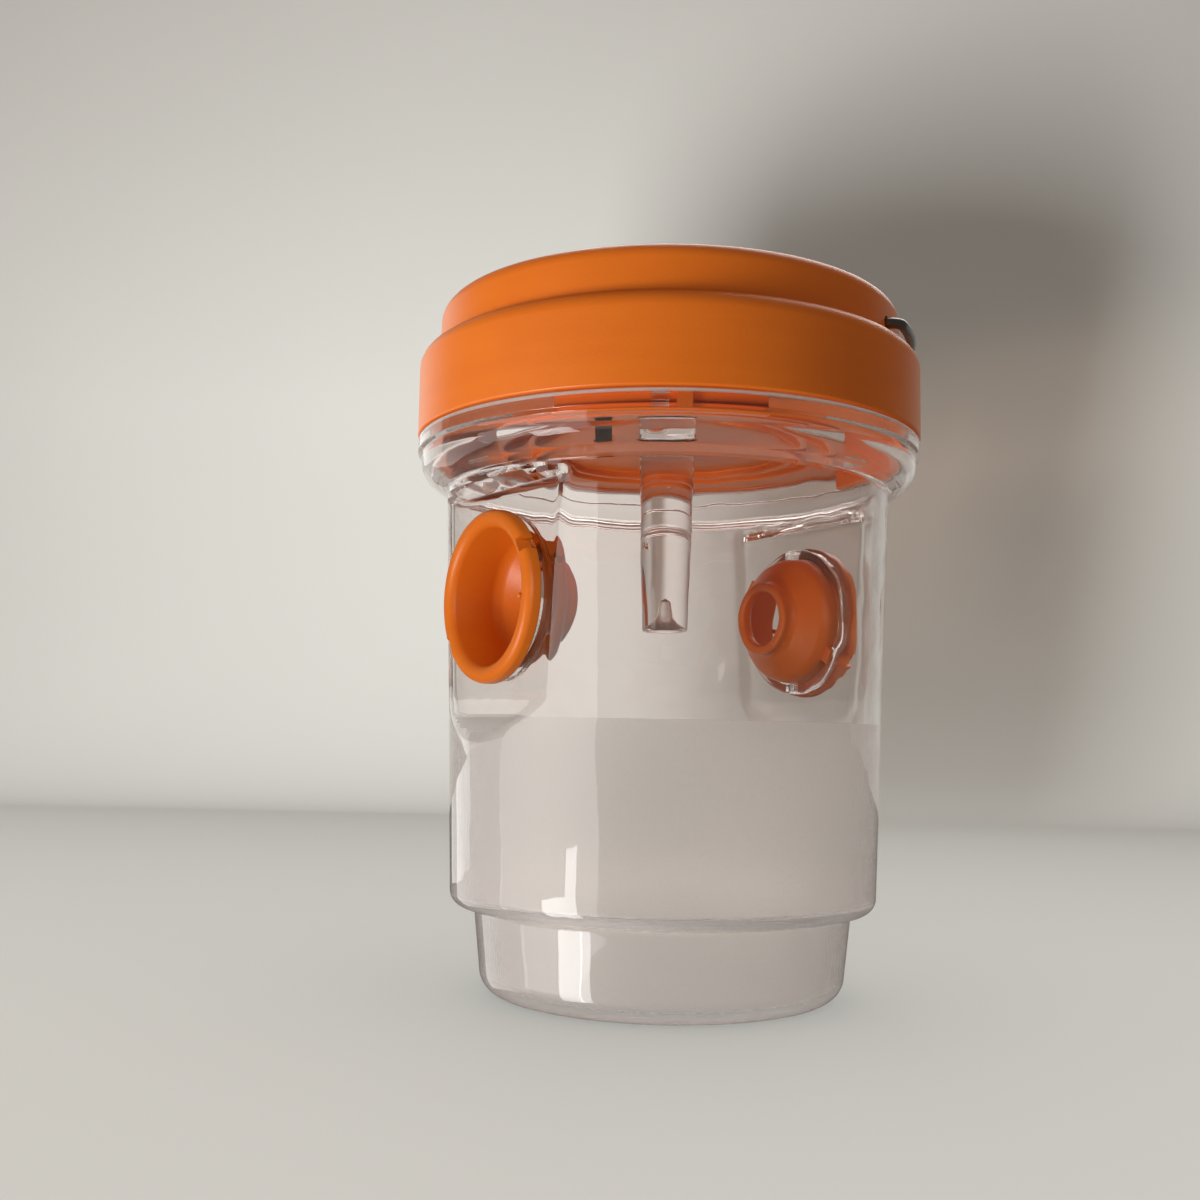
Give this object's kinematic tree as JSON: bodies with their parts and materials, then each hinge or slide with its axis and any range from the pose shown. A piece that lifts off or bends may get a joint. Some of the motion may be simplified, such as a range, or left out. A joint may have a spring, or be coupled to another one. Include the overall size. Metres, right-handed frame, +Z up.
{
  "type": "bee trap",
  "caption": "Hanging bee trap: clear stepped jar with twist-lock entry funnels, turned shut by a two-tier lid with a solar panel, light rod, slide switch and wire bail.",
  "frame": {"origin": "centre of the jar's foot, on the surface it stands on", "axes": "+Z up along the jar's axis; -X and +X through the two entry funnels"},
  "size_m": [0.1, 0.1, 0.1337],
  "materials": {
    "clear_plastic": "clear, glossy, frosted inside the lower jar",
    "orange_plastic": "glossy moulded",
    "black_plastic": "satin moulded",
    "solar_glass": "dark cells under a clear face",
    "lamp_lens": "clear, glossy",
    "board_laminate": "green solder mask",
    "cell_wrap": "shrink wrap, bare",
    "plated_steel": "nickel plated",
    "steel_wire": "drawn, dull grey"
  },
  "bodies": {
    "jar": {"jar": "clear_plastic"},
    "funnel_left": {"entry_funnel_left": "orange_plastic"},
    "funnel_right": {"entry_funnel_right": "orange_plastic"},
    "lid": {"lid_cap": "orange_plastic", "solar_panel": "solar_glass", "lid_base": "orange_plastic", "light_rod": "clear_plastic", "lamp": "lamp_lens", "lamp_sleeve": "black_plastic", "circuit_board": "board_laminate", "switch_housing": "black_plastic", "battery": "cell_wrap", "battery_plus_contact": "plated_steel", "battery_minus_contact": "plated_steel", "base_screw_1": "plated_steel", "base_screw_2": "plated_steel", "base_screw_3": "plated_steel", "base_screw_4": "plated_steel", "board_screw_1": "plated_steel", "board_screw_2": "plated_steel"},
    "switch": {"switch_knob": "black_plastic"},
    "bail": {"bail": "steel_wire"}
  },
  "joints": [
    {"name": "lid_turn", "type": "hinge", "parent": "jar", "child": "lid", "pos_m": [0, 0, 0.107], "axis": [0, 0, 1], "range_deg": [0, 30]},
    {"name": "funnel_left_turn", "type": "hinge", "parent": "jar", "child": "funnel_left", "pos_m": [-0.0385, 0, 0.0742], "axis": [-1, 0, 0], "range_deg": [0, 57]},
    {"name": "funnel_right_turn", "type": "hinge", "parent": "jar", "child": "funnel_right", "pos_m": [0.0385, 0, 0.0742], "axis": [1, 0, 0], "range_deg": [0, 57]},
    {"name": "switch_slide", "type": "slide", "parent": "lid", "child": "switch", "axis": [0.5592, 0.829, 0], "range_m": [0, 0.003]},
    {"name": "bail_swing", "type": "hinge", "parent": "lid", "child": "bail", "pos_m": [0, 0, 0.1266], "axis": [0.4226, -0.9063, 0], "range_deg": [0, 180]}
  ]
}
